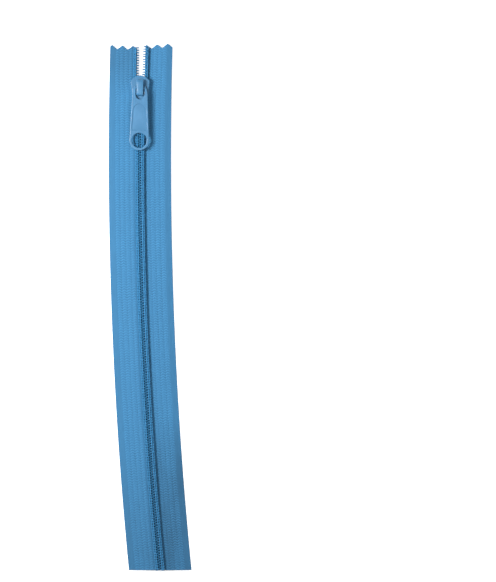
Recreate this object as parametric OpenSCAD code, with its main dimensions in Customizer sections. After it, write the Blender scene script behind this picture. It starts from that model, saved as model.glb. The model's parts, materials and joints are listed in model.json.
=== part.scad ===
// Closed-end length of nylon coil zipper chain with one long-pull slider.
// Two woven tapes lie flat side by side. Each carries a coil sewn along its inner edge, and the
// two coils mesh. The slider stands at the top, where the coils part around its post. The chain
// bows slightly, along one large circle. Z is up and the pinked end points to +Y.

/* [Chain] */

// Radius of the bow that the chain's centre line follows
bow_r = 2137; // [800:1:6000]
// Height along Y of the highest pinked point, from where the bow runs along Y
top_y = 58.1; // [45:0.1:90]
// Depth along Y of the straight cut end, from the same place
cut_y = 210.2; // [120:0.1:400]
// Place along Y where the coils part inside the slider
vertex_y = 35.5; // [10:0.1:60]
// Depth along Y of the line where the opening halves bend away from the closed foot
fold_y = 190; // [80:0.1:380]

/* [Tape] */

// Half of the whole closed width, over both tapes
half_w = 15.9; // [10:0.1:25]
// Distance from the centre line to a tape's inner edge when closed
inner_gap = 0.55; // [0.2:0.05:1.5]
// Thickness of the woven tape beside and under the coil
tape_t = 0.55; // [0.3:0.05:1.2]
// Distance from the centre line to the thinner sewing margin
margin_from = 5.3; // [5:0.1:10]
// Thickness of the sewing margin
margin_t = 0.5; // [0.3:0.05:1.2]
// Tooth spacing of the pinked end
pink_pitch = 5.35; // [2:0.05:8]
// Tooth depth of the pinked end
pink_deep = 2.2; // [0.5:0.1:4]
// Distance of the left tape's outermost pinking point from the centre line
left_point = 14.9; // [10:0.1:16]
// Distance of the right tape's outermost pinking point from the centre line
right_point = 13.3; // [10:0.1:16]
// How much lower the left tape's outermost point is than the right tape's
left_lower = 0.7; // [0:0.1:3]
// Fall of the left tape's cut line towards the centre, for each mm
left_fall = 0.04; // [0:0.01:0.2]
// Fall of the right tape's cut line towards the centre, for each mm
right_fall = 0.065; // [0:0.005:0.2]

/* [Coil] */

// Spacing of the turns of one coil
pitch = 1.3; // [0.8:0.05:2.5]
// Width of one turn along the chain
wire_w = 0.55; // [0.3:0.05:1]
// Thickness of the coil wire
wire_t = 0.6; // [0.3:0.05:1]
// Reach of a coil head past the centre line
head_reach = 0.65; // [0.3:0.05:1.2]
// Distance from the centre line to the back of a turn
coil_back = 2.6; // [1.5:0.05:4]
// Height of the coil above the tape
coil_h = 2.2; // [1:0.05:3.5]
// Width of the filler cord inside the coil
cord_w = 1; // [0.5:0.05:1.2]
// Thickness of the filler cord inside the coil
cord_t = 0.8; // [0.4:0.05:1]
// Width of one row of sewing thread
stitch_w = 0.35; // [0.2:0.05:0.6]
// Thickness of one row of sewing thread
stitch_t = 0.15; // [0.1:0.01:0.3]

/* [Slider] */

// Width of the slider over its shoulders
slider_w = 9.4; // [7:0.1:14]
// Width of the slider at its mouth
mouth_w = 7.4; // [6:0.1:12]
// Length of the slider body
slider_l = 12.4; // [9:0.1:18]
// Thickness of the lower plate
lower_t = 0.9; // [0.6:0.05:1.5]
// Thickness of the upper plate
upper_t = 0.85; // [0.6:0.05:1.5]
// Sideways travel of each coil around the post
part_by = 1.4; // [0.8:0.05:2.5]
// Half width of the post between the plates
post_r = 0.6; // [0.4:0.05:1]
// Width of the crown that holds the pull
crown_w = 3.4; // [2:0.1:5]
// Length of the crown
crown_l = 8.2; // [6:0.1:10]
// Height of the crown above the upper plate
crown_h = 3.4; // [2.5:0.1:5]
// Thickness of the crown's bar
crown_t = 1.1; // [0.8:0.05:1.6]

/* [Pull] */

// Distance from the eye bar's axis to the far end
pull_l = 31.8; // [15:0.1:50]
// Width at the far end
pull_w = 10; // [6:0.1:14]
// Width beside the eye
eye_w = 7.5; // [6:0.1:10]
// Thickness over the raised rim
pull_t = 1.6; // [1:0.1:2.5]
// Radius of the hole at the far end
hole_r = 3.8; // [1.5:0.1:4.2]
// Radius of the eye bar
eye_r = 0.7; // [0.5:0.05:1]
// Width of the eye
eye_hole_w = 4.3; // [3.8:0.1:5.5]
// Reach of the eye from the eye bar's axis
eye_reach = 5.9; // [4.9:0.1:8]
// Depth of the sunk field on each face
field_deep = 0.3; // [0.1:0.05:0.5]
// Width of the raised rim round the sunk field
rim_w = 0.8; // [0.4:0.05:1.5]
// Droop of the pull as it lies along the chain, in degrees
droop = 2; // [0:0.5:5]

/* [Hidden] */

$fn = 48;
tiny = 0.01;

// Clearances of the chain in the slider
slide_gap = 0.15;
side_gap = 0.3;
parted_gap = 0.1;

// Heights of the layers, from the slider's underside up
tape_z = lower_t + slide_gap;
coil_z = tape_z + tape_t;
stitch_z = coil_z + coil_h;
upper_z = stitch_z + stitch_t + parted_gap;
crown_z = upper_z + upper_t;
axis_z = crown_z + 1.1;
axis_v = -0.2;

// Angles about the bow's centre
vertex_a = asin(vertex_y / bow_r);
fold_a = -asin(fold_y / bow_r);
turn_a = pitch / bow_r * 180 / PI;
blend_l = 4;
blend_turns = 4;
spread_rise = 0.01;
coil_top_y = top_y - pink_deep;
leaf_turns = floor((coil_top_y + fold_y) / pitch);
foot_turns = floor((cut_y - fold_y) / pitch);

// Shift that puts the origin under the middle of the box
right_low_x = bow_r - sqrt(pow(bow_r - half_w, 2) - pow(cut_y, 2));
mid_x = (right_low_x - half_w) / 2;
mid_y = (top_y - cut_y) / 2;

// Numbers of straight pieces along the opening halves, where they part, and along the foot
leaf_steps = 48;
blend_steps = 16;
foot_steps = 6;

// Rows of thread and the filler cord, from the centre line when closed
thread_inner = 1.1;
thread_outer = 1.95;
cord_mid = head_reach + 0.1 + cord_w / 2;
cord_z = coil_z + coil_h / 2 - cord_t / 2;

// Slider, along the chain from the place where the coils part
nose_v = 6;
nose_r = 5.4;
mouth_v = nose_v - slider_l;
shoulder_v = 2.4;
parted_v = 2;
post_tip_v = 4.4;
post_back_v = nose_v - 0.8;
flange_z = coil_z + slide_gap;
crown_corner = 1.5;
window_corner = 0.7;
window_h = crown_h - crown_t - 0.05;
foot_sink = 0.2;

// Pull, outwards from the eye bar
end_v = pull_l - pull_w / 2;
bar_half = 3.1;
bevel_l = 1.5;
field_near = eye_reach + 2.4;
field_far = end_v - hole_r - 1.4;

tape_blue = [0.34, 0.6, 0.8];
coil_blue = [0.25, 0.5, 0.7];
thread_blue = [0.38, 0.64, 0.84];
cord_blue = [0.2, 0.42, 0.6];
paint_blue = [0.33, 0.62, 0.84];

// ---- The bow and the parting of the coils ----

// Point at angle a about the bow's centre, u to the right of the centre line
function bow(a, u) = [bow_r - (bow_r - u) * cos(a), (bow_r - u) * sin(a)];

// Angle at which the line u right of the centre line reaches height y
function angle_at(y, u) = asin(y / (bow_r - u));

// Distance along the centre line from the place where the coils part
function along(a) = (a - vertex_a) * PI / 180 * bow_r;

// Sideways shift of a coil at angle a
function spread(a) =
    let (v = along(a))
    v < -blend_l ? 0 :
    v > blend_l ? part_by + (v - blend_l) * spread_rise :
    part_by * (1 - cos(180 * (v + blend_l) / (2 * blend_l))) / 2;

// Angles from low to high, with short steps where the coils part
function leaf_angles(high) = concat(
    [for (i = [0 : leaf_steps]) fold_a + (vertex_a - turn_a * blend_turns - fold_a) * i / leaf_steps],
    [for (i = [1 : blend_steps]) vertex_a + turn_a * blend_turns * (2 * i / blend_steps - 1)],
    [high]);
function foot_angles(low) = [for (i = [0 : foot_steps]) low + (fold_a - low) * i / foot_steps];
function turned(list) = [for (i = [len(list) - 1 : -1 : 0]) list[i]];

// Height along Y of the pinked end at distance u from the centre line
function pink(side, u) =
    let (point = side < 0 ? left_point : right_point)
    let (fall = side < 0 ? left_fall : right_fall)
    let (start = side < 0 ? top_y - left_lower : top_y)
    let (t = abs(u - point) / pink_pitch)
    start - fall * (point - u) - 2 * pink_deep * abs(t - round(t));

// ---- Flat strips that follow the bow ----

// Strip between near and far, side is -1 for left and 1 for right
module leaf_strip(side, near, far, z, t) {
    high_n = angle_at(coil_top_y, side * near);
    high_f = angle_at(coil_top_y, side * far);
    translate([0, 0, z])
    linear_extrude(t)
    polygon(concat(
        [for (a = leaf_angles(high_n)) bow(a, side * (near + spread(a)))],
        turned([for (a = leaf_angles(high_f)) bow(a, side * (far + spread(a)))])));
}

module foot_strip(side, near, far, z, t) {
    low_n = angle_at(-cut_y, side * near);
    low_f = angle_at(-cut_y, side * far);
    translate([0, 0, z])
    linear_extrude(t)
    polygon(concat(
        [for (a = foot_angles(low_n)) bow(a, side * near)],
        turned([for (a = foot_angles(low_f)) bow(a, side * far)])));
}

// Part of an opening half's tape between near and far. The inner edge moves out with the coil
// by the share moves, and the outer edge stays.
module leaf_tape_part(side, near, far, moves, t) {
    near_top = near + moves * (part_by + slide_gap);
    point = side < 0 ? left_point : right_point;
    middle = bow(angle_at(top_y, 0), 0)[0];
    count = ceil(half_w / pink_pitch * 2);
    corners = [for (k = [-count : count]) point + k * pink_pitch / 2];
    inside = [for (u = corners) if (u > near_top + tiny && u < far - tiny) u];
    high_n = angle_at(pink(side, near_top), side * near_top);
    high_f = angle_at(pink(side, far), side * far);
    translate([0, 0, tape_z])
    linear_extrude(t)
    polygon(concat(
        [for (a = leaf_angles(high_n)) bow(a, side * (near + moves * spread(a)))],
        [for (u = inside) [middle + side * u, pink(side, u)]],
        turned([for (a = leaf_angles(high_f)) bow(a, side * far)])));
}

// Woven tape of an opening half, thicker beside the coil than in its sewing margin
module leaf_tape(side) {
    union() {
        leaf_tape_part(side, inner_gap, margin_from, 1, tape_t);
        leaf_tape_part(side, margin_from, half_w, 0, margin_t);
    }
}

module foot_tape(side) {
    union() {
        foot_strip(side, inner_gap, margin_from, tape_z, tape_t);
        foot_strip(side, margin_from, half_w, tape_z, margin_t);
    }
}

// ---- Coils ----

// Cross-section of one turn, an upright loop with cut corners
module loop(near, far, low, high, cut) {
    polygon([
        [near + cut, low], [far - cut, low], [far, low + cut], [far, high - cut],
        [far - cut, high], [near + cut, high], [near, high - cut], [near, low + cut]]);
}

module coil_turn(side, a) {
    place = bow(a, side * spread(a));
    translate([place[0], place[1], coil_z])
    rotate([0, 0, -a])
    mirror([side < 0 ? 1 : 0, 0, 0])
    rotate([90, 0, 0])
    linear_extrude(wire_w, center = true)
    difference() {
        loop(-head_reach, coil_back, 0, coil_h, wire_t * 0.9);
        loop(wire_t - head_reach, coil_back - wire_t, wire_t, coil_h - wire_t, wire_t * 0.3);
    }
}

// The two coils are half a turn apart, so that their heads mesh
module leaf_coil(side) {
    first = side < 0 ? 0.25 : 0.75;
    for (i = [0 : leaf_turns - 1])
        coil_turn(side, fold_a + (i + first) * turn_a);
}

module foot_coil(side) {
    first = side < 0 ? 0.75 : 0.25;
    for (i = [0 : foot_turns - 1])
        coil_turn(side, fold_a - (i + first) * turn_a);
}

// ---- Placing ----

module framed() {
    translate([-mid_x, -mid_y, 0])
    children();
}

// Frame at the place where the coils part, with Y along the chain
module at_vertex() {
    place = bow(vertex_a, 0);
    framed()
    translate([place[0], place[1], 0])
    rotate([0, 0, -vertex_a])
    children();
}

// ---- Stringers ----

module left_tape_foot() {
    color(tape_blue)
    framed()
    foot_tape(-1);
}

module right_tape_foot() {
    color(tape_blue)
    framed()
    foot_tape(1);
}

module left_coil_foot() {
    color(coil_blue)
    framed()
    foot_coil(-1);
}

module right_coil_foot() {
    color(coil_blue)
    framed()
    foot_coil(1);
}

module foot_cord(side) {
    foot_strip(side, cord_mid - cord_w / 2, cord_mid + cord_w / 2, cord_z, cord_t);
}

module leaf_cord(side) {
    leaf_strip(side, cord_mid - cord_w / 2, cord_mid + cord_w / 2, cord_z, cord_t);
}

module foot_thread(side, mid) {
    foot_strip(side, mid - stitch_w / 2, mid + stitch_w / 2, stitch_z, stitch_t);
}

module leaf_thread(side, mid) {
    leaf_strip(side, mid - stitch_w / 2, mid + stitch_w / 2, stitch_z, stitch_t);
}

module left_cord_foot() {
    color(cord_blue)
    framed()
    foot_cord(-1);
}

module right_cord_foot() {
    color(cord_blue)
    framed()
    foot_cord(1);
}

module left_inner_thread_foot() {
    color(thread_blue)
    framed()
    foot_thread(-1, thread_inner);
}

module right_inner_thread_foot() {
    color(thread_blue)
    framed()
    foot_thread(1, thread_inner);
}

module left_outer_thread_foot() {
    color(thread_blue)
    framed()
    foot_thread(-1, thread_outer);
}

module right_outer_thread_foot() {
    color(thread_blue)
    framed()
    foot_thread(1, thread_outer);
}

module left_tape() {
    color(tape_blue)
    framed()
    leaf_tape(-1);
}

module right_tape() {
    color(tape_blue)
    framed()
    leaf_tape(1);
}

module left_coil() {
    color(coil_blue)
    framed()
    leaf_coil(-1);
}

module right_coil() {
    color(coil_blue)
    framed()
    leaf_coil(1);
}

module left_cord() {
    color(cord_blue)
    framed()
    leaf_cord(-1);
}

module right_cord() {
    color(cord_blue)
    framed()
    leaf_cord(1);
}

module left_inner_thread() {
    color(thread_blue)
    framed()
    leaf_thread(-1, thread_inner);
}

module right_inner_thread() {
    color(thread_blue)
    framed()
    leaf_thread(1, thread_inner);
}

module left_outer_thread() {
    color(thread_blue)
    framed()
    leaf_thread(-1, thread_outer);
}

module right_outer_thread() {
    color(thread_blue)
    framed()
    leaf_thread(1, thread_outer);
}

// ---- Slider ----

// Shield outline of the two plates: round nose, shoulders, narrower mouth
module plate_outline() {
    intersection() {
        polygon([
            [-mouth_w / 2, mouth_v], [mouth_w / 2, mouth_v], [slider_w / 2, shoulder_v],
            [slider_w / 2, nose_v + 1], [-slider_w / 2, nose_v + 1],
            [-slider_w / 2, shoulder_v]]);
        union() {
            translate([0, nose_v - nose_r])
            circle(r = nose_r);
            translate([-slider_w, mouth_v - 1])
            square([2 * slider_w, nose_v - nose_r - mouth_v + 1]);
        }
    }
}

// Y-shaped way for the two coils, seen from above
module channel_outline() {
    closed = coil_back + side_gap;
    parted = coil_back + part_by + parted_gap;
    polygon([
        [-closed, mouth_v - 1], [closed, mouth_v - 1], [closed, -blend_l], [parted, parted_v],
        [parted, nose_v + 1], [-parted, nose_v + 1], [-parted, parted_v], [-closed, -blend_l]]);
}

// Flanges under the upper plate that keep the coils in the channel
module flanges() {
    translate([0, 0, flange_z])
    linear_extrude(upper_z - flange_z + tiny)
    difference() {
        plate_outline();
        channel_outline();
    }
}

// Post that parts the coils and ties the two plates together
module post() {
    translate([0, post_tip_v, lower_t - tiny])
    cylinder(r = post_r, h = upper_z - lower_t + 2 * tiny);
    translate([-post_r, post_tip_v, lower_t - tiny])
    cube([2 * post_r, post_back_v - post_tip_v, upper_z - lower_t + 2 * tiny]);
}

// Side view of the crown: a round-cornered arch
module arch(length, height, corner) {
    translate([-length / 2, -tiny])
    square([length, height - corner + tiny]);
    translate([corner - length / 2, height - corner - tiny])
    square([length - 2 * corner, corner + tiny]);
    for (s = [-1, 1])
        translate([s * (length / 2 - corner), height - corner])
        circle(r = corner);
}

module crown() {
    translate([crown_w / 2, axis_v, crown_z])
    rotate([90, 0, -90])
    mirror([1, 0, 0])
    linear_extrude(crown_w)
    difference() {
        arch(crown_l, crown_h, crown_corner);
        translate([0, -1])
        arch(crown_l - 2 * crown_t, window_h + 1, window_corner);
    }
}

// Ends of the crown, let into the upper plate
module crown_feet() {
    for (s = [-1, 1])
        translate([0, axis_v + s * (crown_l - crown_t) / 2, crown_z - foot_sink / 2])
        cube([crown_w, crown_t, foot_sink + 2 * tiny], center = true);
}

module slider_body() {
    color(paint_blue)
    at_vertex()
    union() {
        linear_extrude(lower_t)
        plate_outline();
        translate([0, 0, upper_z])
        linear_extrude(upper_t)
        plate_outline();
        flanges();
        post();
        crown();
        crown_feet();
    }
}

// ---- Pull ----

// Half width of the pull at distance p from the eye bar
function pull_half(p) = eye_w / 2 + (pull_w - eye_w) / 2 * (p - bevel_l) / (end_v - bevel_l);

module pull_outline() {
    polygon([
        [0, -bar_half], [bevel_l, -eye_w / 2], [end_v, -pull_w / 2], [end_v, pull_w / 2],
        [bevel_l, eye_w / 2], [0, bar_half]]);
    translate([end_v, 0])
    circle(r = pull_w / 2);
}

module eye_outline() {
    r = eye_hole_w / 2;
    translate([0, -r])
    square([eye_reach - r, 2 * r]);
    translate([eye_reach - r, 0])
    circle(r = r);
}

// Sunk field between the eye and the hole, round at the eye's end
module field_outline() {
    near_half = pull_half(field_near) - rim_w;
    far_half = pull_half(field_far) - rim_w;
    polygon([
        [field_near + near_half, -near_half], [field_far, -far_half],
        [field_far, far_half], [field_near + near_half, near_half]]);
    translate([field_near + near_half, 0])
    circle(r = near_half);
}

module pull_flat() {
    difference() {
        translate([0, 0, -pull_t / 2])
        linear_extrude(pull_t)
        difference() {
            pull_outline();
            eye_outline();
            translate([end_v, 0])
            circle(r = hole_r);
        }
        translate([0, 0, pull_t / 2 - field_deep])
        linear_extrude(1)
        field_outline();
        translate([0, 0, -pull_t / 2 - 1])
        linear_extrude(1 + field_deep)
        field_outline();
    }
    rotate([90, 0, 0])
    cylinder(r = eye_r, h = 2 * bar_half, center = true);
}

module pull_tab() {
    color(paint_blue)
    at_vertex()
    translate([0, axis_v, axis_z])
    rotate([0, 0, -90])
    rotate([0, droop, 0])
    pull_flat();
}

left_tape_foot();
right_tape_foot();
left_coil_foot();
right_coil_foot();
left_cord_foot();
right_cord_foot();
left_inner_thread_foot();
right_inner_thread_foot();
left_outer_thread_foot();
right_outer_thread_foot();
left_tape();
right_tape();
left_coil();
right_coil();
left_cord();
right_cord();
left_inner_thread();
right_inner_thread();
left_outer_thread();
right_outer_thread();
slider_body();
pull_tab();
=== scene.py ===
import json
import math

import bpy
import numpy as np
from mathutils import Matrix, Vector
from mathutils.geometry import tessellate_polygon


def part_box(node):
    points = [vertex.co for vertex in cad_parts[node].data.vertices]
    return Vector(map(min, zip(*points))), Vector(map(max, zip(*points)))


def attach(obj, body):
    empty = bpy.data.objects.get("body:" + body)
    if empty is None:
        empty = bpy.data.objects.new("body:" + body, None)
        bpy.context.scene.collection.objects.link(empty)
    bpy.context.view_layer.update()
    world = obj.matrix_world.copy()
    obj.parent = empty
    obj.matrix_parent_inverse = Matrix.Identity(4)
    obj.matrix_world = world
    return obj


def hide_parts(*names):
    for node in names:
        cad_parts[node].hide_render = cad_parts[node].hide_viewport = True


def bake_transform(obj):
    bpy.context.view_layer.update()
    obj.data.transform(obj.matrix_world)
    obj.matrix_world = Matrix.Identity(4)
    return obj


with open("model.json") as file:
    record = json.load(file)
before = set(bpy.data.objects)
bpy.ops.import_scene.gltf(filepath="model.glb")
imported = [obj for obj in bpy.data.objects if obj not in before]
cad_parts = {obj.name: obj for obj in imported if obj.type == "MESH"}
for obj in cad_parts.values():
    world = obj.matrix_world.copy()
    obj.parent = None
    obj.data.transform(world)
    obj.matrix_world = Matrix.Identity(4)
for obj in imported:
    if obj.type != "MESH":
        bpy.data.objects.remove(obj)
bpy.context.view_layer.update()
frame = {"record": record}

MM = 0.001
joints = {j["name"]: j for j in frame["record"]["behaviour"]["joints"]}
BOW_C = [x / MM for x in joints["slider_run"]["pos_m"]]
FOLD_P = [x / MM for x in joints["left_open"]["pos_m"]]
EYE_P = [x / MM for x in joints["pull_swing"]["pos_m"]]

# ---- The chain's bow, in millimetres ----
# s runs up the centre line from where the coils part, and u to the right of it. d is how far a
# point of a tape or coil is from the centre line while the coils are closed.

BOW_R = math.hypot(BOW_C[0] - FOLD_P[0], FOLD_P[1] - BOW_C[1])
EYE_S = -0.2  # the pull's eye
EYE_A = math.atan2(EYE_P[1] - BOW_C[1], BOW_C[0] - EYE_P[0])
PART_A = EYE_A - EYE_S / BOW_R
FOLD_S = (math.atan2(FOLD_P[1] - BOW_C[1], BOW_C[0] - FOLD_P[0]) - PART_A) * BOW_R

HALF_W = 15.9  # half the chain's width
INNER = 0.55  # d of a tape's inner edge
PITCH = 1.3  # from one turn of a coil to the next
HEAD = 0.65  # how far the heads reach past the centre line
BACK = 2.6  # d of a coil's back
PART_BY = 1.4  # how far each coil moves out inside the slider
BLEND = 4.0  # half the length in which it does so
RISE = 0.01  # how much further it moves out for each millimetre above that

tape_low, tape_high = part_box("left_tape")
coil_low, coil_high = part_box("left_coil")
TAPE_Z0, TAPE_Z1 = tape_low[2] / MM, tape_high[2] / MM
COIL_Z0, COIL_Z1 = coil_low[2] / MM, coil_high[2] / MM
TOP_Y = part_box("right_tape")[1][1] / MM
CUT_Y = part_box("left_tape_foot")[0][1] / MM
COIL_TOP_Y = TOP_Y - 2.2


def place(s, u, z):
    """Points of the frame in millimetres, from arrays of chain coordinates."""
    a = PART_A + np.asarray(s, float) / BOW_R
    r = BOW_R - np.asarray(u, float)
    x = BOW_C[0] - r * np.cos(a)
    y = BOW_C[1] + r * np.sin(a)
    return np.stack(np.broadcast_arrays(x, y, np.asarray(z, float)), axis=-1)


def s_at(y, u):
    """Chain coordinate s at which the line u reaches the height y."""
    return (np.arcsin((np.asarray(y, float) - BOW_C[1]) / (BOW_R - u)) - PART_A) * BOW_R


def spread(s):
    """How far each coil has moved out from the centre line at s."""
    s = np.asarray(s, float)
    mid = PART_BY * (1 - np.cos(np.pi * (s + BLEND) / (2 * BLEND))) / 2
    return np.where(s < -BLEND, 0.0, np.where(s > BLEND, PART_BY + (s - BLEND) * RISE, mid))


def smooth(t):
    """From 0 to 1 in an S as t goes from 0 to 1, and level outside."""
    t = np.clip(t, 0.0, 1.0)
    return t * t * (3 - 2 * t)


def wave(x, period):
    """Cosine of x that comes back after each period."""
    return np.cos(2 * np.pi * x / period)


def bell(x, width):
    """1 at 0, and falling to 0 a few widths away."""
    return np.exp(-((x / width) ** 2))


def power(x, e):
    """Power that keeps the sign. Below 1 it makes a circle's sine and cosine squarer."""
    return np.sign(x) * np.abs(x) ** e


def circle(n):
    """Angles of n points around a ring, as one row."""
    return np.linspace(0, 2 * np.pi, n, endpoint=False)[None, :]


rng = np.random.default_rng(7)

# ---- Meshes ----


def new_mesh(name, points, faces, shade=True):
    """A mesh object from points in millimetres and a list of faces."""
    mesh = bpy.data.meshes.new(name)
    mesh.from_pydata((np.asarray(points) * MM).tolist(), [], faces)
    mesh.validate()
    if shade:
        mesh.polygons.foreach_set("use_smooth", [True] * len(mesh.polygons))
    mesh.update()
    ob = bpy.data.objects.new(name, mesh)
    bpy.context.scene.collection.objects.link(ob)
    return ob


def triples(*rows):
    """Three numbers for each point, from three arrays that are spread to one shape."""
    return np.stack(np.broadcast_arrays(*rows), axis=-1)


def add_detail(ob, tags):
    """The point attribute that the materials read."""
    att = ob.data.attributes.new("detail", "FLOAT_VECTOR", "POINT")
    att.data.foreach_set("vector", np.asarray(tags, np.float32).ravel())


def grid_faces(rows, cols, start=0, closed=False, flip=False):
    """Four-sided faces over rows of points, closed into a tube where closed is set."""
    r = np.arange(rows - 1)[:, None]
    c = np.arange(cols if closed else cols - 1)[None, :]
    after = (c + 1) % cols
    a = start + r * cols + c
    b = start + r * cols + after
    d = start + (r + 1) * cols + c
    e = start + (r + 1) * cols + after
    quad = np.stack([a, d, e, b] if flip else [a, b, e, d], axis=-1)
    return quad.reshape(-1, 4).tolist()


class Pile:
    """Points and faces of several shells that make one object."""

    def __init__(self):
        self.points, self.faces, self.tags, self.count = [], [], [], 0

    def add(self, points, faces, tags=None):
        points = np.asarray(points, float).reshape(-1, 3)
        self.faces += [[i + self.count for i in f] for f in faces]
        self.points.append(points)
        self.tags.append(np.zeros_like(points) if tags is None else np.asarray(tags, float))
        self.count += len(points)

    def tube(self, rings, tags=None, flip=False):
        """Shell through rings of points (n, m, 3), capped at both ends. flip turns it right side out."""
        if flip:
            rings = rings[:, ::-1, :]
            tags = None if tags is None else tags[:, ::-1, :]
        n, m, _ = rings.shape
        faces = grid_faces(n, m, closed=True)
        faces.append(list(range(m))[::-1])
        faces.append([(n - 1) * m + i for i in range(m)])
        self.add(rings, faces, None if tags is None else tags.reshape(-1, 3))

    def build(self, name):
        ob = new_mesh(name, np.concatenate(self.points), self.faces)
        add_detail(ob, np.concatenate(self.tags))
        return ob


# ---- Tapes ----

COLUMN = 2.55  # width of a herringbone column
COLUMN_0 = 5.1  # d of a valley between two columns
SLANT = 0.6  # how much the chevrons climb across a column
FIELD = 2.9  # d where the herringbone starts
SELVEDGE = COLUMN_0 + 3 * COLUMN  # d where it ends and the plain edge starts
TWILL_H, RIDGE_H = 0.06, 0.035  # height of the chevrons, and of a column's middle
VALLEY_H, VALLEY_W = 0.05, 0.22  # depth and half width of a valley
RIB, RIB_H, PICK_H = 0.65, 0.018, 0.012  # the plain edge's ribs and crossing yarns
DRAWN_H, DRAWN_W = 0.05, 0.25  # the groove along the coil's back

PINK_PITCH, PINK_DEEP = 5.35, 2.2  # the zigzag of the pinked end
POINT = {-1: 14.9, 1: 13.3}  # d of one of its points, on the left and on the right
FALL = {-1: 0.04, 1: 0.065}  # how much the end falls toward the centre line
LOWER = {-1: 0.7, 1: 0.0}  # how much lower the whole end lies
TOP_GAP = 0.15  # how much further out the inner edge is at the top end than just above the slider
FRAY, FOOT_FRAY = 0.06, 0.07  # how unevenly the two ends are cut

MESH_U, MESH_S = 0.26, 0.3  # size of the tape's faces, across and along
TOP_SKIN, UNDER_SKIN = 0.06, 0.05  # room for the relief inside the tape's thickness
UNDER_RELIEF = 0.6  # share of the relief that shows on the underside
EDGE_SAG, FAR_SAG = 0.36, 0.58  # how far the outer margin and the far part of the chain come down
SLACK = 0.035  # height of the cloth's long waves
OUTER_ROUND, OUTER_ROUND_W = 0.12, 0.35  # how much thinner the sheet is at its edges, and over what width
INNER_ROUND, INNER_ROUND_W = 0.1, 0.3


def pink(side, u):
    """Height of the pinked end at the distance u from the centre line."""
    t = np.abs(u - POINT[side]) / PINK_PITCH
    zigzag = 2 * PINK_DEEP * np.abs(t - np.round(t))
    return TOP_Y - LOWER[side] - FALL[side] * (POINT[side] - u) - zigzag


def weave_height(s, d):
    """Relief of the cloth."""
    f = np.mod((d - COLUMN_0) / COLUMN, 1.0)
    twill = wave(s + np.abs(f - 0.5) * COLUMN * SLANT, PITCH)
    valley = bell(np.minimum(f, 1 - f) * COLUMN, VALLEY_W)
    ridge = wave(f - 0.5, 1.0)
    # the weave is beaten harder in some patches than in others
    patches = 0.25 * np.sin(s / 7.3 + 1.1 * d) * np.sin(s / 19.0 - 0.6 * d) + 0.15 * np.sin(s / 3.1 + d)
    field = TWILL_H * twill * (0.8 + patches) * (1 - valley) - VALLEY_H * valley + RIDGE_H * ridge
    edge = RIB_H * wave(d, RIB) + PICK_H * wave(s + RIB / 2 * np.floor(d / RIB), RIB)
    in_field = smooth((d - FIELD) / 0.3) * smooth((SELVEDGE - d) / 0.25)
    # the stitches draw the cloth down beside the coil
    drawn = DRAWN_H * bell(d - BACK - DRAWN_W, DRAWN_W)
    return in_field * field + (1 - in_field) * edge - drawn


def tape_sag(side, s, d):
    """How the cloth lies off its plane: away from the slider it comes down to the table."""
    # the outer margin hangs down everywhere, and the rest more and more down the chain
    edge = EDGE_SAG * smooth((d - 12.0) / 4.4)
    far = FAR_SAG * smooth((-20.0 - s) / 130.0) * np.clip((d - FIELD) / 12.0, 0, 1)
    return SLACK * np.sin(s / 17.0 + side) * smooth((d - 4) / 8) - edge - far


def tape_columns(side):
    """Distance from the centre line of each column of points at the pinked end.

    One column runs through each corner of the zigzag."""
    inner = INNER + PART_BY + TOP_GAP
    corners = [POINT[side] + k * PINK_PITCH / 2 for k in range(-8, 9)]
    stops = [inner] + [u for u in corners if inner + 0.3 < u < HALF_W - 0.1] + [HALF_W]
    columns = []
    for a, b in zip(stops[:-1], stops[1:]):
        n = max(2, round((b - a) / MESH_U))
        columns += [a + (b - a) * i / n for i in range(n)]
    return np.array(columns + [HALF_W])


def sheet_faces(rows, cols, right):
    """Faces of a thin closed sheet: its upper grid, its lower one and the rim between them."""
    n = rows * cols
    faces = grid_faces(rows, cols, 0, flip=not right)
    faces += grid_faces(rows, cols, n, flip=right)
    rim = [(0, c) for c in range(cols)]
    rim += [(r, cols - 1) for r in range(1, rows)]
    rim += [(rows - 1, c) for c in range(cols - 2, -1, -1)]
    rim += [(r, 0) for r in range(rows - 2, 0, -1)]
    for (r0, c0), (r1, c1) in zip(rim, rim[1:] + rim[:1]):
        a, b = r0 * cols + c0, r1 * cols + c1
        quad = [a, a + n, b + n, b]
        faces.append(quad if right else quad[::-1])
    return faces


def tape(side, name):
    top_u = tape_columns(side)
    # each column keeps its share of the width where the coils part
    share = (top_u - top_u[0]) / (top_u[-1] - top_u[0])
    closed_u = INNER + share * (HALF_W - INNER)
    cols = len(share)
    s_high = s_at(pink(side, top_u), side * top_u) + rng.uniform(-FRAY, FRAY, cols)
    s_low = s_at(CUT_Y, side * closed_u) + np.abs(rng.uniform(0.0, FOOT_FRAY, cols))
    rows = 2 + int((s_high.max() - s_low.min()) / MESH_S)
    t = np.linspace(0, 1, rows)[:, None]
    s = s_low[None, :] + t * (s_high - s_low)[None, :]
    u = closed_u[None, :] + spread(s) * (1 - share)[None, :]
    d = np.broadcast_to(closed_u[None, :], s.shape)
    relief, sag = weave_height(s, d), tape_sag(side, s, d)
    thinner = OUTER_ROUND * np.clip(1 - (HALF_W - d) / OUTER_ROUND_W, 0, 1) ** 2
    thinner += INNER_ROUND * np.clip(1 - (d - INNER) / INNER_ROUND_W, 0, 1) ** 2
    upper = place(s, side * u, TAPE_Z1 - TOP_SKIN + sag + relief - thinner)
    lower = place(s, side * u, TAPE_Z0 + UNDER_SKIN + sag + relief * UNDER_RELIEF + thinner)
    points = np.concatenate([upper.reshape(-1, 3), lower.reshape(-1, 3)])
    ob = new_mesh(name, points, sheet_faces(rows, cols, side > 0))
    tags = triples(d, s, float(side)).reshape(-1, 3)
    add_detail(ob, np.concatenate([tags, tags]))
    return ob


# ---- Coils, filler cords and sewing thread ----

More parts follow.
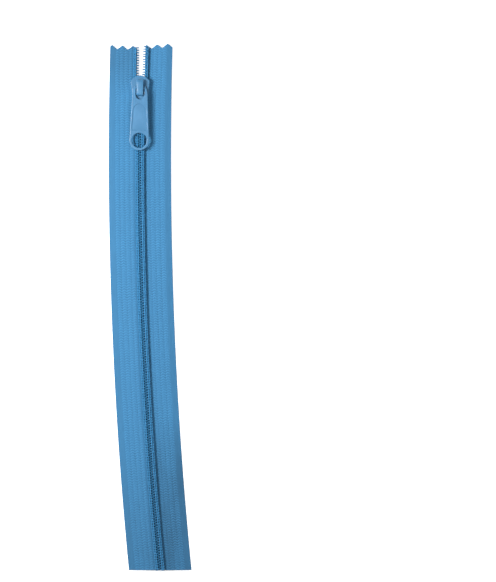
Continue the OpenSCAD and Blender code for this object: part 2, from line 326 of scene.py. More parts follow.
WIRE = 0.3  # half the wire's thickness
WIRE_SIDES, WIRE_SQUARE = 8, 0.8  # the wire's section, with powers below 1 making it squarer
TURN_POINTS = 22
CLIMB = 1.9  # angle at the coil's back in which the wire moves on to the next turn
LOOP_A = (BACK + HEAD) / 2 - WIRE  # half the width and height of the wire's path around a turn
LOOP_B = (COIL_Z1 - COIL_Z0) / 2 - WIRE
LOOP_U = (BACK - HEAD) / 2  # the middle of that path
LOOP_Z = (COIL_Z0 + COIL_Z1) / 2
SQUARE = 0.86  # a turn is squarer than an ellipse
LEG_CROWN, HEAD_CROWN = 0.28, 0.4  # how much an upper leg falls to the back and to the head
PRESSED, WIDENED, PRESSED_W = 0.02, 0.01, 0.42  # how the heads are flattened

CORE_D, CORE_HALF_W, CORE_HALF_H = 1.27, 0.56, 0.42  # the filler cord's middle and size
CORE_SIDES, CORE_SQUARE, CORE_STEP = 12, 0.85, 0.26
CORE_PLIES, CORE_TWIST = 3, 1.9

THREAD_SIDES, THREAD_STEP = 8, PITCH / 12
THREAD_PLIES, THREAD_TWIST = 2, 1.05
NEEDLE_HALF_H, NEEDLE_SWAY = 0.13, 0.05  # the thread above, which comes through the tape
LOOPER_HALF_W, LOOPER_HALF_H, LOOPER_SWAY = 0.16, 0.09, 0.04  # the thread below
THREAD_ROWS = {"inner": (1.2, 0.27), "outer": (1.95, 0.24)}  # d of each row and half its thread's width
END_GAP = 0.05  # the cord and the threads end this far inside the tape's straight cut


def first_turn(side):
    """Where the first turn above the fold is, in turns. The right coil's heads fit between the left's."""
    return 0.25 if side < 0 else 0.75


def coil_path(side):
    """s, u and z of the middle of the nylon wire while the coils are closed.

    Each turn has a leg above and a leg below the filler cord."""
    below = int((FOLD_S - s_at(CUT_Y, 0)) / PITCH - 0.5)
    above = int((s_at(COIL_TOP_Y, 0) - FOLD_S) / PITCH)
    turns = np.arange(-below - 2, above)
    local = np.tile(circle(TURN_POINTS)[0], len(turns))
    step = smooth((local - (np.pi - CLIMB / 2)) / CLIMB)
    s = FOLD_S + PITCH * (np.repeat(turns, TURN_POINTS) + first_turn(side) + step)
    u = LOOP_U - LOOP_A * power(np.cos(local), SQUARE)
    z = LOOP_Z + LOOP_B * power(np.sin(local), SQUARE)
    # the upper legs are crowned, as the wire is bent over the filler cord, most at the heads
    lean = (u - LOOP_U) / LOOP_A
    z = z - np.clip(np.sin(local), 0, 1) * np.where(lean < 0, HEAD_CROWN, LEG_CROWN) * lean**2
    # the foot is cut off square with the tape
    start = np.nonzero(s < s_at(CUT_Y, side * u) + WIRE)[0].max() + 1
    return s[start:], u[start:], z[start:]


def coil(side, name):
    """The nylon wire, as one bent tube."""
    s, u, z = coil_path(side)
    # no two turns are bent quite alike
    wobble = 0.018 * np.sin(s * 2.1) + 0.012 * np.sin(s * 5.3 + 1)
    du, dz = np.gradient(u), np.gradient(z)
    size = np.hypot(du, dz) + 1e-9
    # the heads are pressed a little flatter and wider than the legs
    head = bell(u + HEAD - WIRE, PRESSED_W)
    out = (WIRE - PRESSED * head) / size
    along = WIRE + WIDENED * head
    ring = circle(WIRE_SIDES)
    across = power(np.cos(ring), WIRE_SQUARE)
    ring_s = s[:, None] + along[:, None] * power(np.sin(ring), WIRE_SQUARE)
    ring_u = (u + wobble + spread(s))[:, None] + (out * dz)[:, None] * across
    ring_z = z[:, None] - (out * du)[:, None] * across
    rings = place(ring_s, side * ring_u, ring_z)
    pile = Pile()
    pile.tube(rings, triples(s[:, None], u[:, None], across + 0 * ring_s), flip=side < 0)
    return pile.build(name)


def filler(side, name):
    """The filler cord inside the coil, with the relief of its plies."""
    ring = circle(CORE_SIDES)
    s = np.arange(float(s_at(CUT_Y, side * CORE_D)) + END_GAP, float(s_at(COIL_TOP_Y, 0)), CORE_STEP)[:, None]
    ply = 0.5 + 0.5 * np.cos(CORE_PLIES * ring - 2 * np.pi * s / CORE_TWIST * side)
    r = 0.84 + 0.16 * ply
    u = CORE_D + spread(s) + CORE_HALF_W * r * power(np.cos(ring), CORE_SQUARE)
    z = LOOP_Z + CORE_HALF_H * r * power(np.sin(ring), CORE_SQUARE)
    pile = Pile()
    pile.tube(place(s, side * u, z), triples(s, ring, ply), flip=side < 0)
    return pile.build(name)


def leg_top(u):
    """Height of the upper legs' top at the distance u from the centre line."""
    x = np.clip((u - LOOP_U) / LOOP_A, -0.98, 0.98)
    rise = (1 - np.abs(x) ** (2 / SQUARE)) ** (SQUARE / 2)
    return LOOP_Z + LOOP_B * rise - LEG_CROWN * rise * x**2 + WIRE


def thread(side, name, mid, half_wide):
    """A row of lock stitches: over each leg, down between two, and along the tape's underside."""
    ring = circle(THREAD_SIDES)
    s_low = float(s_at(CUT_Y, side * mid)) + END_GAP
    s = np.arange(s_low, float(s_at(COIL_TOP_Y, 0)) - 0.2, THREAD_STEP)[:, None]
    phase = 2 * np.pi * ((s - FOLD_S) / PITCH - first_turn(side))
    over = 0.5 + 0.5 * np.cos(phase)
    ply = 0.5 + 0.5 * np.cos(THREAD_PLIES * (ring + 2 * np.pi * s / THREAD_TWIST))
    r = 0.86 + 0.2 * ply
    needle = (leg_top(mid) - 0.26 + 0.3 * over**0.7, NEEDLE_SWAY, half_wide, NEEDLE_HALF_H)
    looper = (TAPE_Z0 + 0.02 - 0.03 * over, LOOPER_SWAY, LOOPER_HALF_W, LOOPER_HALF_H)
    pile = Pile()
    for z_mid, sway, half_w, half_h in (needle, looper):
        u = mid + sway * np.sin(phase) + spread(s) + half_w * r * np.cos(ring)
        z = z_mid + half_h * r * np.sin(ring)
        pile.tube(place(s, side * u, z), triples(s, ring, ply), flip=side < 0)
    return pile.build(name)


# ---- Plates with rounded edges ----

HOLD = 0.03  # a row of points this far from each rounded edge keeps the flats flat


def arc(cx, cy, r, a0, a1, n):
    a = np.radians(np.linspace(a0, a1, n))
    return np.column_stack([cx + r * np.cos(a), cy + r * np.sin(a)])


def rounded(points, r, n=6):
    """Loop whose corners are rounded by r, which can be one number or one for each corner."""
    pts = np.asarray(points, float)
    count = len(pts)
    radii = [r] * count if np.isscalar(r) else r
    out = []
    for i in range(count):
        p, a, b = pts[i], pts[i - 1], pts[(i + 1) % count]
        if radii[i] <= 0:
            out.append(p)
            continue
        to_a, to_b = a - p, b - p
        len_a, len_b = np.linalg.norm(to_a), np.linalg.norm(to_b)
        to_a, to_b = to_a / len_a, to_b / len_b
        half = math.acos(np.clip(np.dot(to_a, to_b), -1, 1)) / 2
        cut = min(radii[i] / math.tan(half), len_a * 0.49, len_b * 0.49)
        radius = cut * math.tan(half)
        mid = (to_a + to_b) / np.linalg.norm(to_a + to_b)
        centre = p + mid * radius / math.sin(half)
        v0, v1 = p + to_a * cut - centre, p + to_b * cut - centre
        a0, a1 = math.atan2(v0[1], v0[0]), math.atan2(v1[1], v1[0])
        turn = (a1 - a0 + math.pi) % (2 * math.pi) - math.pi
        for k in range(n + 1):
            angle = a0 + turn * k / n
            out.append(centre + radius * np.array([math.cos(angle), math.sin(angle)]))
    return np.array(out)


def thin(loop, least=0.02):
    """Loop without the points that lie closer than least to the one before."""
    keep = [loop[0]]
    for p in loop[1:]:
        if np.linalg.norm(p - keep[-1]) > least:
            keep.append(p)
    if np.linalg.norm(keep[-1] - keep[0]) <= least:
        keep.pop()
    return np.array(keep)


def inset(loop, by):
    """Loop moved to its left side, so into the metal for an outer loop run anticlockwise."""
    before = loop - np.roll(loop, 1, axis=0)
    after = np.roll(loop, -1, axis=0) - loop
    before /= np.linalg.norm(before, axis=1, keepdims=True) + 1e-12
    after /= np.linalg.norm(after, axis=1, keepdims=True) + 1e-12
    n1 = np.stack([-before[:, 1], before[:, 0]], axis=1)
    n2 = np.stack([-after[:, 1], after[:, 0]], axis=1)
    n = n1 + n2
    n /= np.linalg.norm(n, axis=1, keepdims=True) + 1e-12
    stretch = 1 / np.clip((n * n1).sum(axis=1, keepdims=True), 0.5, 1)
    return loop + n * by * stretch


def edge_rows(r, seg):
    """Inset and height of the rows of points over an edge of radius r, from the flat to the side."""
    turns = [k / seg * math.pi / 2 for k in range(seg + 1)] if r > 0 else [math.pi / 2]
    bend = [(r * (1 - math.sin(a)), r * (1 - math.cos(a))) for a in turns]
    return [(r + HOLD, 0.0)] + bend + [(0.0, r + HOLD)]


def slab(pile, turn, loops, z0, z1, low=0.0, high=0.0, seg=4):
    """Plate with rounded edges, whose points turn puts in place. The first loop is the outline,
    anticlockwise, and the others are holes, clockwise. low and high are the edge radii."""
    rows = [(by, z0 + z) for by, z in edge_rows(low, seg)]
    rows += [(by, z1 - z) for by, z in reversed(edge_rows(high, seg))]
    walls = []
    for loop in loops:
        layers = np.stack([np.column_stack([inset(loop, by), np.full(len(loop), z)]) for by, z in rows])
        walls.append((pile.count, layers))
        pile.add(turn(layers), grid_faces(len(rows), len(loop), closed=True))
    for row, upward in ((0, False), (len(rows) - 1, True)):
        flat = np.concatenate([layers[row] for _, layers in walls])
        owners = []
        for start, layers in walls:
            m = layers.shape[1]
            owners += [start + row * m + i for i in range(m)]
        for tri in tessellate_polygon([[Vector(p) for p in layers[row]] for _, layers in walls]):
            a, b, c = (flat[i] for i in tri)
            doubled_area = (b[0] - a[0]) * (c[1] - a[1]) - (b[1] - a[1]) * (c[0] - a[0])
            if abs(doubled_area) < 1e-12:
                continue
            face = [owners[i] for i in tri]
            pile.faces.append(face if (doubled_area > 0) == upward else face[::-1])


# ---- Slider: v runs up the chain from where the coils part ----

SLIDER_L, SLIDER_W, MOUTH_W = 12.4, 9.4, 7.4
NOSE_V, NOSE_R = 6.0, 5.4  # the round upper end
NOSE_C = NOSE_V - NOSE_R
SHOULDER_V = 2.4  # where the slider is widest
MOUTH_V = NOSE_V - SLIDER_L
LOWER_T, UPPER_T = 0.9, 0.85  # the two plates
UPPER_Z = COIL_Z1 + 0.25
CROWN_Z = UPPER_Z + UPPER_T
FLANGE_Z = COIL_Z0 + 0.15
FLANGE_GAP, PARTED_GAP = 0.3, 0.1  # room between a flange and the coil's back
POST_V, POST_R, POST_BACK = 4.4, 0.6, 0.8  # the tip of the post, and how far inside the nose it ends
CROWN_W, CROWN_T, CROWN_L, CROWN_H, CROWN_BEND = 3.4, 1.1, 8.2, 3.4, 1.0
CROWN_V0 = EYE_S - CROWN_L / 2 + CROWN_T / 2  # the middle of each of its legs
CROWN_V1 = EYE_S + CROWN_L / 2 - CROWN_T / 2
FLARE_W, FLARE_T = 1.11, 1.44  # how much wider and thicker the crown's feet are
FILLET_W, FILLET_H = 0.32, 0.34

slide_x = np.array([math.cos(PART_A), -math.sin(PART_A), 0.0])
slide_y = np.array([math.sin(PART_A), math.cos(PART_A), 0.0])
part_pos = place(0.0, 0.0, 0.0)


def at_slider(points):
    """From the slider's own frame (u, v, z) to the part's frame."""
    p = np.asarray(points, float)
    return part_pos + p[..., 0:1] * slide_x + p[..., 1:2] * slide_y + p[..., 2:3] * np.array([0, 0, 1.0])


def half_at(v):
    """Half width of the slider's shield outline at v."""
    to_shoulder = (v - MOUTH_V) / (SHOULDER_V - MOUTH_V)
    side = np.where(v < SHOULDER_V, MOUTH_W / 2 + (SLIDER_W - MOUTH_W) / 2 * to_shoulder, SLIDER_W / 2)
    nose = np.sqrt(np.clip(NOSE_R**2 - np.clip(v - NOSE_C, 0, None) ** 2, 0, None))
    return np.minimum(side, nose)


def shield():
    """The plates' outline: up the right side from the mouth, then down the left."""
    nose = NOSE_C + NOSE_R * np.sin(np.radians(np.linspace(24, 90, 26)))
    v = np.concatenate([[MOUTH_V], np.linspace(MOUTH_V + 0.3, SHOULDER_V, 14), nose])
    h = half_at(v)
    h[0] -= 0.25  # the mouth's corners are cut off
    right = np.column_stack([h, v])
    left = np.column_stack([-h, v])[::-1]
    return thin(np.concatenate([right, left]))


def flange_loops():
    """The side walls between the plates. Inside they follow the coils, closed and parted."""
    closed, parted = BACK + FLANGE_GAP, BACK + PART_BY + PARTED_GAP
    top = NOSE_C + math.sqrt(NOSE_R**2 - parted**2) - 0.05
    v = np.concatenate([np.linspace(MOUTH_V, SHOULDER_V, 14), np.linspace(SHOULDER_V + 0.2, top, 8)])
    outer = np.column_stack([half_at(v), v])
    halfway = closed + (parted - closed) * 0.5
    inner = [[parted, top], [parted, 2.0], [halfway, -1.0], [closed, -BLEND], [closed, MOUTH_V]]
    right = thin(np.concatenate([outer, inner]), 0.04)
    left = (right * [-1, 1])[::-1]
    return right, left


def crown_path():
    """The arch from its foot at the mouth to its foot at the nose: v, z and the way it runs."""
    top_z = CROWN_Z + CROWN_H - CROWN_T / 2
    # the legs start a little inside the plate
    rise = [[CROWN_V0, z, 0, 1] for z in (CROWN_Z - 0.3, CROWN_Z + 0.25, top_z - CROWN_BEND)]
    for a in np.radians(np.linspace(0, 90, 10)[1:]):
        v = CROWN_V0 + CROWN_BEND * (1 - math.cos(a))
        z = top_z - CROWN_BEND + CROWN_BEND * math.sin(a)
        rise.append([v, z, math.sin(a), math.cos(a)])
    top = [[CROWN_V0 + (CROWN_V1 - CROWN_V0) * k, top_z, 1, 0] for k in (0.3, 0.5, 0.7)]
    fall = [[CROWN_V0 + CROWN_V1 - v, z, tv, -tz] for v, z, tv, tz in reversed(rise)]
    return rise + top + fall


def crown(pile):
    """A rounded bar bent into an arch, with fillets where its legs meet the plate."""
    w, t = CROWN_W / 2, CROWN_T / 2
    section = rounded([[-w, -t], [w, -t], [w, t], [-w, t]], 0.38, 5)
    path = crown_path()
    rings = []
    for i, (v, z, tv, tz) in enumerate(path):
        wide, thick = (FLARE_W, FLARE_T) if i in (0, len(path) - 1) else (1.0, 1.0)
        rings.append([[a * wide, v - b * thick * tz, z + b * tv] for a, b in section])
    pile.tube(at_slider(rings), flip=True)
    for v in (CROWN_V0, CROWN_V1):
        rings = []
        for a in np.radians(np.linspace(0, 90, 7)):
            grow = FILLET_W * (1 - math.sin(a))
            z = CROWN_Z - 0.02 + FILLET_H * (1 - math.cos(a))
            wider = [[x + math.copysign(grow, x), y + math.copysign(grow, y)] for x, y in section]
            rings.append([[x, v + y, z] for x, y in wider])
        pile.tube(at_slider(rings))


def slider():
    pile = Pile()
    slab(pile, at_slider, [shield()], 0.0, LOWER_T, low=0.22, high=0.12)
    slab(pile, at_slider, [shield()], UPPER_Z, CROWN_Z, high=0.3, seg=5)
    for loop in flange_loops():
        slab(pile, at_slider, [loop], FLANGE_Z, UPPER_Z, low=0.12)
    # the post that parts the coils, a wedge with a round tip
    back = [[POST_R, NOSE_V - POST_BACK], [-POST_R, NOSE_V - POST_BACK]]
    post = np.concatenate([arc(0, POST_V, POST_R, 180, 360, 14), back])
    slab(pile, at_slider, [post], LOWER_T - 0.05, UPPER_Z + 0.05)
    crown(pile)
    return pile.build("slider_paint")


# ---- Pull: p runs from its eye to its far end, q to its side ----

PULL_L, PULL_W, EYE_W, PULL_T = 31.8, 10.0, 7.5, 1.6
HOLE_R = 3.8
END_P = PULL_L - PULL_W / 2  # the middle of the hole and of the round end
SHANK_P = 1.5  # where the straight sides would begin
EYE_R, EYE_HOLE_W, EYE_REACH = 0.7, 4.3, 5.9  # the eye's bar, and its slot
FIELD_DEEP, RIM_W = 0.3, 0.8
FIELD_FROM_EYE, FIELD_FROM_HOLE = 2.4, 1.4
EDGE_R = 0.24
DROOP = 2.0  # degrees that the pull hangs down at rest


def at_pull(points):
    """From the pull's own frame (p, q, z) to the part's frame."""
    p = np.asarray(points, float)
    c, s = math.cos(math.radians(DROOP)), math.sin(math.radians(DROOP))
    out = p[..., 0] * c + p[..., 2] * s
    up = -p[..., 0] * s + p[..., 2] * c
    eye = np.array([0.0, EYE_S, EYE_P[2]])
    return at_slider(np.stack([p[..., 1], -out, up], axis=-1) + eye)


def half_pull(p):
    """Half width of the pull at p, between its two round ends."""
    return EYE_W / 2 + (PULL_W - EYE_W) / 2 * (p - SHANK_P) / (END_P - SHANK_P)


def pull_outline():
    """Anticlockwise: out along one side, round the far end, back to the eye's end, through its slot."""
    r = EYE_HOLE_W / 2
    slope = math.degrees(math.atan2((PULL_W - EYE_W) / 2, END_P - SHANK_P))
    end = arc(END_P, 0, PULL_W / 2, -90 + slope * 0.5, 90 - slope * 0.5, 44)
    shank = np.array([[p, half_pull(p)] for p in np.linspace(END_P - SHANK_P, 2.6, 16)])
    # from the side round the eye's end to its slot
    tip = np.array([
        [1.7, half_pull(1.7) - 0.12], [0.9, 3.48], [0.2, 3.02], [0.0, 2.75], [0.0, r + 0.05], [0.3, r]])
    slot = arc(EYE_REACH - r, 0, r, 90, -90, 26)
    mirror = [1, -1]
    return thin(np.concatenate([shank[::-1] * mirror, end, shank, tip, slot, tip[::-1] * mirror]), 0.03)


def pull_field():
    """The sunk field between the eye and the hole, anticlockwise."""
    near, far = EYE_REACH + FIELD_FROM_EYE, END_P - HOLE_R - FIELD_FROM_HOLE
    h0, h1 = half_pull(near) - RIM_W, half_pull(far) - RIM_W
    c = near + h0
    bow = arc(c, 0, h0, 100, 260, 30)
    corners = rounded([[c, -h0], [far, -h1], [far, h1], [c, h0]], [0, 0.9, 0.9, 0], 7)
    return thin(np.concatenate([bow, corners]), 0.03)


def pull():
    pile = Pile()
    field = pull_field()
    hole = arc(END_P, 0, HOLE_R, 360, 0, 65)[:-1]
    half_t = PULL_T / 2
    loops = [pull_outline(), field[::-1], hole]
    slab(pile, at_pull, loops, -half_t, half_t, low=EDGE_R, high=EDGE_R, seg=5)
    web = half_t - FIELD_DEEP
    slab(pile, at_pull, [inset(field, -0.12)], -web, web)
    # the eye's bar, rounded at both ends
    ends, taper = np.array([2.8, 2.9, 2.95]), np.array([0.93, 0.75, 0.5])
    q = np.concatenate([-ends[::-1], np.linspace(-2.6, 2.6, 9), ends])[:, None]
    r = EYE_R * np.concatenate([taper[::-1], np.ones(9), taper])[:, None]
    a = circle(24)
    pile.tube(at_pull(triples(r * np.cos(a), q, r * np.sin(a))), flip=True)
    return pile.build("pull_paint")


# ---- Materials ----

TAPE_BLUE = (0.031, 0.147, 0.293)
WIRE_BLUE = (0.018, 0.115, 0.238)
THREAD_BLUE = (0.029, 0.168, 0.346)
CORE_BLUE = (0.028, 0.165, 0.340)
PAINT_BLUE = (0.029, 0.131, 0.258)
YARN = 0.32  # from one yarn of the tape to the next
FLOOR_GLOW = 0.62


class Nodes:
    """Short ways to make a material's nodes."""

    def __init__(self, name):
        self.mat = bpy.data.materials.new(name)
        self.mat.use_nodes = True
        self.tree = self.mat.node_tree
        self.tree.nodes.clear()
        out = self.new("OutputMaterial")
        self.shader = self.new("BsdfPrincipled")
        self.link(self.shader.outputs[0], out.inputs["Surface"])

    def new(self, kind):
        return self.tree.nodes.new("ShaderNode" + kind)

    def link(self, a, b):
        self.tree.links.new(a, b)

    def put(self, socket, value):
        if isinstance(value, bpy.types.NodeSocket):
            self.link(value, socket)
        else:
            socket.default_value = value

    def shade(self, sockets):
        """Fill the shader's sockets and give the finished material."""
        for name, value in sockets.items():
            self.put(self.shader.inputs[name], value)
        return self.mat

    def math(self, kind, *values):
        n = self.new("Math")
        n.operation = kind
        for socket, value in zip(n.inputs, values):
            self.put(socket, value)
        return n.outputs[0]

    def plus(self, first, *others):
        for other in others:
            first = self.math("ADD", first, other)
        return first

    def times(self, first, *others):
        for other in others:
            first = self.math("MULTIPLY", first, other)
        return first

    def minus(self, a, b):
        return self.math("SUBTRACT", a, b)

    def wave(self, x, period):
        return self.math("COSINE", self.times(x, 2 * math.pi / period))

    def span(self, value, a0, a1, b0, b1):
        """b0 to b1 as the value goes from a0 to a1, and level outside."""
        n = self.new("MapRange")
        for socket, v in zip(n.inputs, (value, a0, a1, b0, b1)):
            self.put(socket, v)
        return n.outputs[0]

    def split(self, vector):
        n = self.new("SeparateXYZ")
        self.link(vector, n.inputs[0])
        return n.outputs[0], n.outputs[1], n.outputs[2]

    def detail(self):
        """The three numbers that a piece's points carry."""
        n = self.new("Attribute")
        n.attribute_name = "detail"
        return self.split(n.outputs["Vector"])

    def position(self):
        return self.new("TexCoord").outputs["Object"]

    def noise(self, vector, scale=1.0, octaves=2.0, rough=0.5):
        n = self.new("TexNoise")
        self.link(vector, n.inputs["Vector"])
        n.inputs["Scale"].default_value = scale
        n.inputs["Detail"].default_value = octaves
        n.inputs["Roughness"].default_value = rough
        return n.outputs["Fac"]

    def streaks(self, values, stretch, **settings):
        """Noise over three values, each first multiplied by its stretch."""
        n = self.new("CombineXYZ")
        for socket, value, k in zip(n.inputs, values, stretch):
            self.put(socket, value if k == 1 else self.times(value, k))
        return self.noise(n.outputs[0], **settings)

    def tones(self, fac, colour, dark, light, at=(0.0, 0.5, 1.0)):
        """A ramp from the colour made darker, through the colour, to the colour made lighter."""
        n = self.new("ValToRGB")
        self.put(n.inputs[0], fac)
        n.color_ramp.elements.new(0.5)
        for stop, position, share in zip(n.color_ramp.elements, at, (dark, 1.0, light)):
            stop.position = position
            stop.color = (*(c * share for c in colour), 1.0)
        return n.outputs[0]

    def bump(self, height, strength, distance):
        n = self.new("Bump")
        n.inputs["Strength"].default_value = strength
        n.inputs["Distance"].default_value = distance
        self.put(n.inputs["Height"], height)
        return n.outputs[0]


def painted_end_shade(n, s, side):
    """Painted shade at a tape's ends, where the light falls off: most at the left top and the right foot."""
    left, right = n.math("MULTIPLY_ADD", side, -0.5, 0.5), n.math("MULTIPLY_ADD", side, 0.5, 0.5)
    return n.plus(
        n.times(n.span(s, -4.0, 12.0, 0.0, 0.36), left),
        n.times(n.span(s, -235.0, -185.0, 0.26, 0.0), left),
        n.times(n.span(s, -202.0, -168.0, 0.54, 0.0), right))


def tape_material():
    n = Nodes("woven_tape")
    d, s, side = n.detail()
    # the chevrons of the herringbone and the valleys between its columns
    f = n.math("FRACT", n.math("DIVIDE", n.minus(d, COLUMN_0 - 20 * COLUMN), COLUMN))
    along = n.plus(s, n.times(n.math("ABSOLUTE", n.minus(f, 0.5)), COLUMN * SLANT))
    twill, fine = n.wave(along, PITCH), n.wave(along, PITCH / 2)
    valley = n.span(n.math("MINIMUM", f, n.minus(1.0, f)), 0.0, 0.13, 1.0, 0.0)
    from_coil = n.span(d, FIELD, FIELD + 0.6, 0.0, 1.0)
    to_selvedge = n.span(d, SELVEDGE - 0.15, SELVEDGE + 0.1, 1.0, 0.0)
    field = n.times(from_coil, to_selvedge)
    # the single yarns, and how they vary from yarn to yarn and from place to place
    yarns = n.times(n.wave(d, YARN), n.wave(s, YARN))
    patch = n.streaks((d, s, side), (0.5, 0.11, 1))
    ends = n.streaks((d, s, side), (5.0, 0.12, 1), octaves=3.0, rough=0.6)
    picks = n.streaks((d, s, side), (0.15, 3.2, 1))
    cloud = n.streaks((d, s, side), (1, 0.2, 1), scale=0.16)
    chevrons = n.times(twill, n.span(patch, 0.35, 0.65, 0.05, 0.24))
    shade = n.plus(
        # the herringbone's tone; the valleys between its columns are darkened, painted shade in the grooves
        n.times(n.plus(chevrons, n.times(fine, 0.03), n.times(valley, -0.15)), field),
        # the plain bands beside the coil and at the selvedge are darker: painted shade under the coil and at
        # the outer edges
        n.span(field, 0.0, 1.0, -0.13, 0.0),
        n.times(n.minus(ends, 0.5), 0.34),
        n.times(n.minus(picks, 0.5), 0.10),
        n.times(n.minus(cloud, 0.5), 0.10),
        n.times(yarns, 0.03),
        # painted shade at the tape's ends, where the light falls off
        n.times(painted_end_shade(n, s, side), cloud, -1.0))
    height = n.plus(n.times(yarns, 0.5), n.times(ends, 0.8), n.times(fine, field, 0.35))
    return n.shade({
        "Base Color": n.tones(n.plus(shade, 0.5), TAPE_BLUE, 0.5, 1.5),
        "Roughness": 0.82,
        "Sheen Weight": 0.10,
        "Sheen Roughness": 0.45,
        "Sheen Tint": (0.55, 0.78, 1.0, 1.0),
        "Specular IOR Level": 0.3,
        "Normal": n.bump(height, 0.45, 0.00005)})


def wire_material():
    n = Nodes("coil_wire")
    s, u, ring = n.detail()
    streak = n.streaks((s, u, ring), (2.0, 0.6, 1), scale=2.5, octaves=3.0, rough=0.6)
    turn = n.streaks((s, 0.0, 0.0), (0.77, 1, 1), octaves=1.0)
    # painted shade: darker toward the foot, where the light falls off
    painted_foot_shade = n.span(s, -230.0, -110.0, 0.22, 0.0)
    mix = n.minus(n.plus(n.times(streak, 0.6), n.times(turn, 0.4)), painted_foot_shade)
    return n.shade({
        "Base Color": n.tones(mix, WIRE_BLUE, 0.6, 1.25, (0.0, 0.5, 0.8)),
        "Roughness": n.span(streak, 0.3, 0.7, 0.42, 0.58),
        "Specular IOR Level": 0.3,
        "Normal": n.bump(streak, 0.25, 0.00003)})


def yarn_material(name, colour, roughness):
    n = Nodes(name)
    s, around, ply = n.detail()
    fibre = n.streaks((s, around, ply), (3.0, 2.5, 1), scale=2.0, octaves=3.0, rough=0.65)
    # painted shade: darker toward the foot, where the light falls off
    painted_foot_shade = n.span(s, -230.0, -110.0, 0.16, 0.0)
    mix = n.minus(n.plus(n.times(fibre, 0.5), n.times(ply, 0.5)), painted_foot_shade)
    return n.shade({
        "Base Color": n.tones(mix, colour, 0.6, 1.25, (0.1, 0.5, 0.9)),
        "Roughness": roughness,
        "Specular IOR Level": 0.25,
        "Sheen Weight": 0.06,
        "Sheen Roughness": 0.4,
        "Normal": n.bump(fibre, 0.4, 0.00004)})


def paint_material():
    """Gloss paint over the castings, a little lighter where it wears on their edges."""
    n = Nodes("gloss_paint")
    pos = n.position()
    peel = n.noise(pos, 900.0)
    cloud = n.noise(pos, 160.0, 3.0, 0.55)
    speck = n.noise(pos, 2600.0, rough=0.6)
    edge = n.span(n.new("NewGeometry").outputs["Pointiness"], 0.5, 0.62, 0.0, 1.0)
    tone = n.plus(n.span(cloud, 0.3, 0.7, 0.38, 0.62), n.times(edge, 0.22))
    return n.shade({
        "Base Color": n.tones(tone, PAINT_BLUE, 0.78, 1.3),
        "Roughness": n.span(n.times(n.plus(cloud, speck), 0.5), 0.35, 0.65, 0.3, 0.44),
        "Specular IOR Level": 0.45,
        "Coat Weight": 0.18,
        "Coat Roughness": 0.14,
        "Normal": n.bump(peel, 0.12, 0.00006)})


def floor_material():
    """A table that glows, painted light that keeps its shadows pale. It glows less under the chain, painted
    shade there, so no light shows between the coil heads.
    """
    n = Nodes("pale_floor")
    x, y, _ = n.split(n.position())
    from_x, from_y = n.minus(x, BOW_C[0] * MM), n.minus(y, BOW_C[1] * MM)
    r = n.math("SQRT", n.plus(n.times(from_x, from_x), n.times(from_y, from_y)))
    beside = n.span(n.math("ABSOLUTE", n.minus(r, BOW_R * MM)), 4 * MM, 8 * MM, 0.0, 1.0)
    above = n.span(y, (part_pos[1] - 6.0) * MM, part_pos[1] * MM, 0.0, 1.0)
    below = n.span(y, (CUT_Y - 1.0) * MM, (CUT_Y + 1.0) * MM, 1.0, 0.0)
    glow = n.math("MAXIMUM", beside, n.math("MAXIMUM", above, below))
    return n.shade({
        "Base Color": (0.75, 0.75, 0.75, 1.0),
        "Emission Color": (1.0, 1.0, 1.0, 1.0),
        "Emission Strength": n.times(glow, FLOOR_GLOW),
        "Roughness": 0.9,
        "Specular IOR Level": 0.1})


# ---- The pieces ----

CLOTH = tape_material()
NYLON = wire_material()
THREAD = yarn_material("sewing_thread", THREAD_BLUE, 0.8)
CORE = yarn_material("filler_cord", CORE_BLUE, 0.85)
ENAMEL = paint_material()

BEND_FROM, BEND_TO = 5.0, 17.0  # the stretch above the fold in which an opening half would bend; its ends are worked out, but nothing is bent


def chain_point(s):
    return tuple(float(x) * MM for x in place(s, 0.0, (TAPE_Z0 + TAPE_Z1) / 2))


def halves(ob, half, slot, material, *nodes):
    """A stringer piece: gives it its material, bakes its place into its points and hides the CAD nodes it
    stands for.
    """
    ob.data.materials.append(material)
    bend_from, bend_to = chain_point(FOLD_S + BEND_FROM), chain_point(FOLD_S + BEND_TO)
    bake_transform(ob)
    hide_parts(*nodes)
    return ob


for side, hand in ((-1, "left"), (1, "right")):
    body = f"{hand}_half"
    cloth = halves(tape(side, f"{hand}_tape_cloth"), body, "tape", CLOTH, f"{hand}_tape", f"{hand}_tape_foot")
    wire = halves(coil(side, f"{hand}_coil_wire"), body, "coil", NYLON, f"{hand}_coil", f"{hand}_coil_foot")
    core = halves(
        filler(side, f"{hand}_filler_cord"), body, "cord", CORE, f"{hand}_cord", f"{hand}_cord_foot")
    for row, (mid, half_wide) in THREAD_ROWS.items():
        ob = thread(side, f"{hand}_{row}_stitches", mid, half_wide)
        halves(ob, body, "thread", THREAD, f"{hand}_{row}_thread", f"{hand}_{row}_thread_foot")

for ob, body, node in ((slider(), "slider", "slider_body"), (pull(), "pull", "pull_tab")):
    ob.data.materials.append(ENAMEL)
    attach(ob, body)
    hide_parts(node)

# ---- Floor, light and camera ----

FLOOR = 1500  # half the floor's width
floor_corners = [[-FLOOR, -FLOOR, 0], [FLOOR, -FLOOR, 0], [FLOOR, FLOOR, 0], [-FLOOR, FLOOR, 0]]
floor = new_mesh("floor", floor_corners, [[0, 1, 2, 3]], shade=False)
floor.location.z = -0.02 * MM
floor.data.materials.append(floor_material())

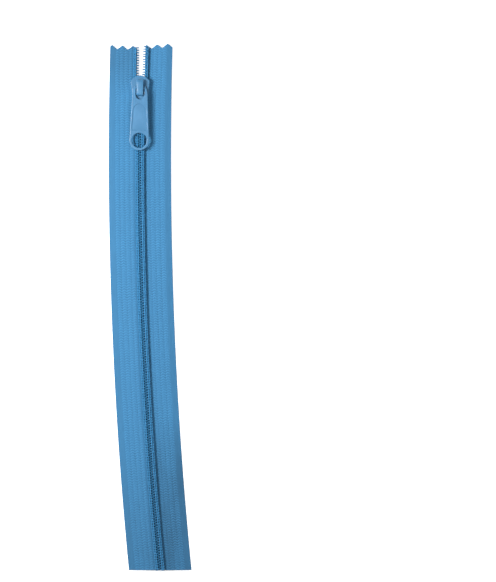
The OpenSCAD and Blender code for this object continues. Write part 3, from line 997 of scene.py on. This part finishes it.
# a studio sweep: white low down, dimmer overhead
scene = bpy.context.scene
scene.world = bpy.data.worlds.new("studio")
scene.world.use_nodes = True
tree = scene.world.node_tree
sky = tree.nodes["Background"]
sky.inputs["Color"].default_value = (0.97, 0.98, 1.0, 1.0)
toward = tree.nodes.new("ShaderNodeTexCoord")
height = tree.nodes.new("ShaderNodeSeparateXYZ")
fade = tree.nodes.new("ShaderNodeMapRange")
LOW_H, OVERHEAD_H, LOW_LIGHT, OVERHEAD_LIGHT = 0.25, 0.6, 1.0, 0.36
for i, value in enumerate((LOW_H, OVERHEAD_H, LOW_LIGHT, OVERHEAD_LIGHT)):
    fade.inputs[i + 1].default_value = value
tree.links.new(toward.outputs["Generated"], height.inputs[0])
tree.links.new(height.outputs[2], fade.inputs[0])
tree.links.new(fade.outputs[0], sky.inputs["Strength"])


def area(name, at, target, size, watts, colour=(1, 1, 1)):
    light = bpy.data.lights.new(name, "AREA")
    light.shape = "RECTANGLE"
    light.size = light.size_y = size
    light.energy = watts
    light.color = colour
    ob = bpy.data.objects.new(name, light)
    ob.location = at
    ob.rotation_euler = (Vector(target) - Vector(at)).to_track_quat("-Z", "Y").to_euler()
    scene.collection.objects.link(ob)


area("key", at=(-0.21, 0.10, 0.34), target=(0.0, 0.05, 0.0), size=0.14, watts=2.8, colour=(1.0, 0.99, 0.97))
# the fill stands where the pull doesn't mirror it
area("fill", at=(0.10, -0.14, 0.45), target=(0.0, -0.06, 0.0), size=0.3, watts=0.7)

VIEW_H = 296.5872 * MM  # height of the view on the table
VIEW_X, VIEW_Y = 55.07, -67.98  # its middle, from the outermost point of the chain's bow
FAR = 1.5
camera_data = bpy.data.cameras.new("camera")
camera_data.sensor_width = 36.0
camera_data.lens = camera_data.sensor_width * FAR / VIEW_H
camera = bpy.data.objects.new("camera", camera_data)
camera.location = ((BOW_C[0] - BOW_R + VIEW_X) * MM, (BOW_C[1] + VIEW_Y) * MM, FAR)
scene.collection.objects.link(camera)
scene.camera = camera
scene.view_settings.view_transform = "Standard"
